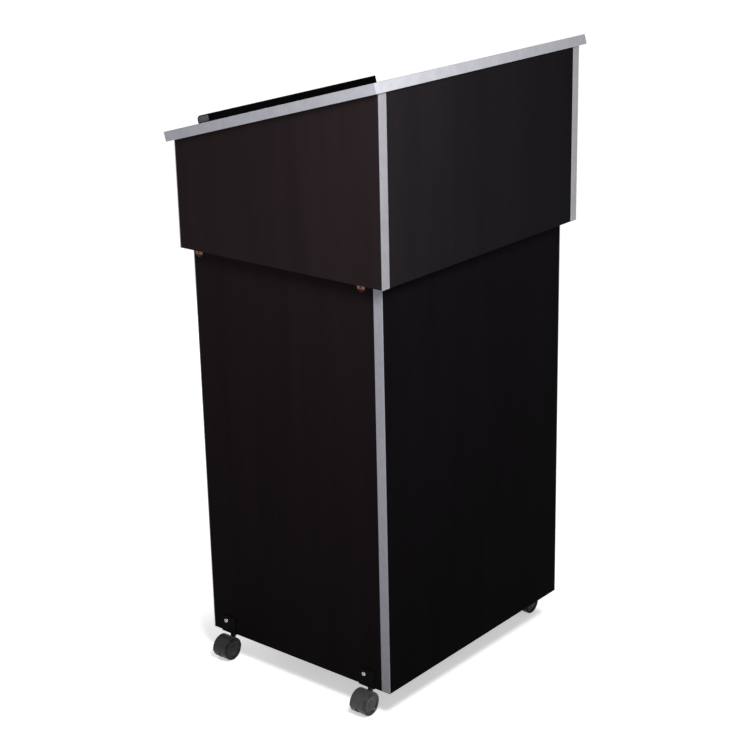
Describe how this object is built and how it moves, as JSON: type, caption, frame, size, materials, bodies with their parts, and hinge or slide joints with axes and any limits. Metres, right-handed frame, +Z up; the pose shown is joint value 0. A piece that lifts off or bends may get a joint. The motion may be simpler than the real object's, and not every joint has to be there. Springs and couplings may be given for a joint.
{
  "type": "presentation lectern",
  "caption": "Rolling floor lectern: slanted-top upper section with a book stop on an open-backed shelf base, on swivelling twin-wheel casters.",
  "frame": {"origin": "on the floor, under the middle of the outline", "axes": "+Z up; the audience is in front at -Y, the speaker and the open back at +Y; X across the width"},
  "size_m": [0.61, 0.4934, 1.176],
  "materials": {
    "black_laminate": "black-brown wood-grain melamine, low sheen",
    "silver_band": "silver edge banding, satin",
    "stop_black": "black, low sheen",
    "stop_grey": "grey, matte",
    "zinc_steel": "zinc plated",
    "dowel_wood": "beech",
    "copper_bolt": "copper coloured plating",
    "brass_bolt": "bright yellow zinc",
    "bracket_black": "black powder coat",
    "caster_grey": "dark grey nylon",
    "wheel_grey": "dark grey nylon"
  },
  "bodies": {
    "lectern": {"reading_top": "black_laminate", "top_band_front": "silver_band", "top_band_rear": "silver_band", "top_band_left": "silver_band", "top_band_right": "silver_band", "book_stop": "stop_black", "stop_plug_left": "stop_grey", "stop_plug_right": "stop_grey", "stop_screws": "zinc_steel", "upper_side_left": "black_laminate", "upper_side_right": "black_laminate", "upper_front": "black_laminate", "upper_floor": "black_laminate", "upper_band_left": "silver_band", "upper_band_right": "silver_band", "upper_rear_bands": "silver_band", "base_side_left": "black_laminate", "base_side_right": "black_laminate", "base_front": "black_laminate", "base_top": "black_laminate", "base_floor": "black_laminate", "base_shelf": "black_laminate", "base_band_left": "silver_band", "base_band_right": "silver_band", "base_rear_bands": "silver_band", "shelf_pins": "zinc_steel", "cam_locks": "zinc_steel", "cam_bolts": "zinc_steel", "dowels": "dowel_wood", "deck_bolts": "copper_bolt", "bracket_bolts": "brass_bolt", "barrel_nuts": "zinc_steel", "section_screws": "zinc_steel", "stem_sockets": "zinc_steel", "bracket_front_left": "bracket_black", "bracket_front_right": "bracket_black", "bracket_rear_left": "bracket_black", "bracket_rear_right": "bracket_black"},
    "swivel_front_left": {"caster_body_front_left": "caster_grey", "caster_stem_front_left": "zinc_steel", "caster_axle_front_left": "zinc_steel"},
    "wheel_front_left_fore": {"wheel_front_left_fore": "wheel_grey"},
    "wheel_front_left_aft": {"wheel_front_left_aft": "wheel_grey"},
    "swivel_front_right": {"caster_body_front_right": "caster_grey", "caster_stem_front_right": "zinc_steel", "caster_axle_front_right": "zinc_steel"},
    "wheel_front_right_fore": {"wheel_front_right_fore": "wheel_grey"},
    "wheel_front_right_aft": {"wheel_front_right_aft": "wheel_grey"},
    "swivel_rear_left": {"caster_body_rear_left": "caster_grey", "caster_stem_rear_left": "zinc_steel", "caster_axle_rear_left": "zinc_steel"},
    "wheel_rear_left_fore": {"wheel_rear_left_fore": "wheel_grey"},
    "wheel_rear_left_aft": {"wheel_rear_left_aft": "wheel_grey"},
    "swivel_rear_right": {"caster_body_rear_right": "caster_grey", "caster_stem_rear_right": "zinc_steel", "caster_axle_rear_right": "zinc_steel"},
    "wheel_rear_right_fore": {"wheel_rear_right_fore": "wheel_grey"},
    "wheel_rear_right_aft": {"wheel_rear_right_aft": "wheel_grey"}
  },
  "joints": [
    {"name": "swivel_front_left", "type": "hinge", "parent": "lectern", "child": "swivel_front_left", "pos_m": [-0.2585, -0.16515, 0.05], "axis": [0, 0, 1], "continuous": true},
    {"name": "roll_front_left_fore", "type": "hinge", "parent": "swivel_front_left", "child": "wheel_front_left_fore", "pos_m": [-0.277, -0.16515, 0.0218], "axis": [0, 1, 0], "continuous": true},
    {"name": "roll_front_left_aft", "type": "hinge", "parent": "swivel_front_left", "child": "wheel_front_left_aft", "pos_m": [-0.277, -0.16515, 0.0218], "axis": [0, 1, 0], "continuous": true},
    {"name": "swivel_front_right", "type": "hinge", "parent": "lectern", "child": "swivel_front_right", "pos_m": [0.2585, -0.16515, 0.05], "axis": [0, 0, 1], "continuous": true},
    {"name": "roll_front_right_fore", "type": "hinge", "parent": "swivel_front_right", "child": "wheel_front_right_fore", "pos_m": [0.24, -0.16515, 0.0218], "axis": [0, 1, 0], "continuous": true},
    {"name": "roll_front_right_aft", "type": "hinge", "parent": "swivel_front_right", "child": "wheel_front_right_aft", "pos_m": [0.24, -0.16515, 0.0218], "axis": [0, 1, 0], "continuous": true},
    {"name": "swivel_rear_left", "type": "hinge", "parent": "lectern", "child": "swivel_rear_left", "pos_m": [-0.2585, 0.18535, 0.05], "axis": [0, 0, 1], "continuous": true},
    {"name": "roll_rear_left_fore", "type": "hinge", "parent": "swivel_rear_left", "child": "wheel_rear_left_fore", "pos_m": [-0.277, 0.18535, 0.0218], "axis": [0, 1, 0], "continuous": true},
    {"name": "roll_rear_left_aft", "type": "hinge", "parent": "swivel_rear_left", "child": "wheel_rear_left_aft", "pos_m": [-0.277, 0.18535, 0.0218], "axis": [0, 1, 0], "continuous": true},
    {"name": "swivel_rear_right", "type": "hinge", "parent": "lectern", "child": "swivel_rear_right", "pos_m": [0.2585, 0.18535, 0.05], "axis": [0, 0, 1], "continuous": true},
    {"name": "roll_rear_right_fore", "type": "hinge", "parent": "swivel_rear_right", "child": "wheel_rear_right_fore", "pos_m": [0.24, 0.18535, 0.0218], "axis": [0, 1, 0], "continuous": true},
    {"name": "roll_rear_right_aft", "type": "hinge", "parent": "swivel_rear_right", "child": "wheel_rear_right_aft", "pos_m": [0.24, 0.18535, 0.0218], "axis": [0, 1, 0], "continuous": true}
  ]
}
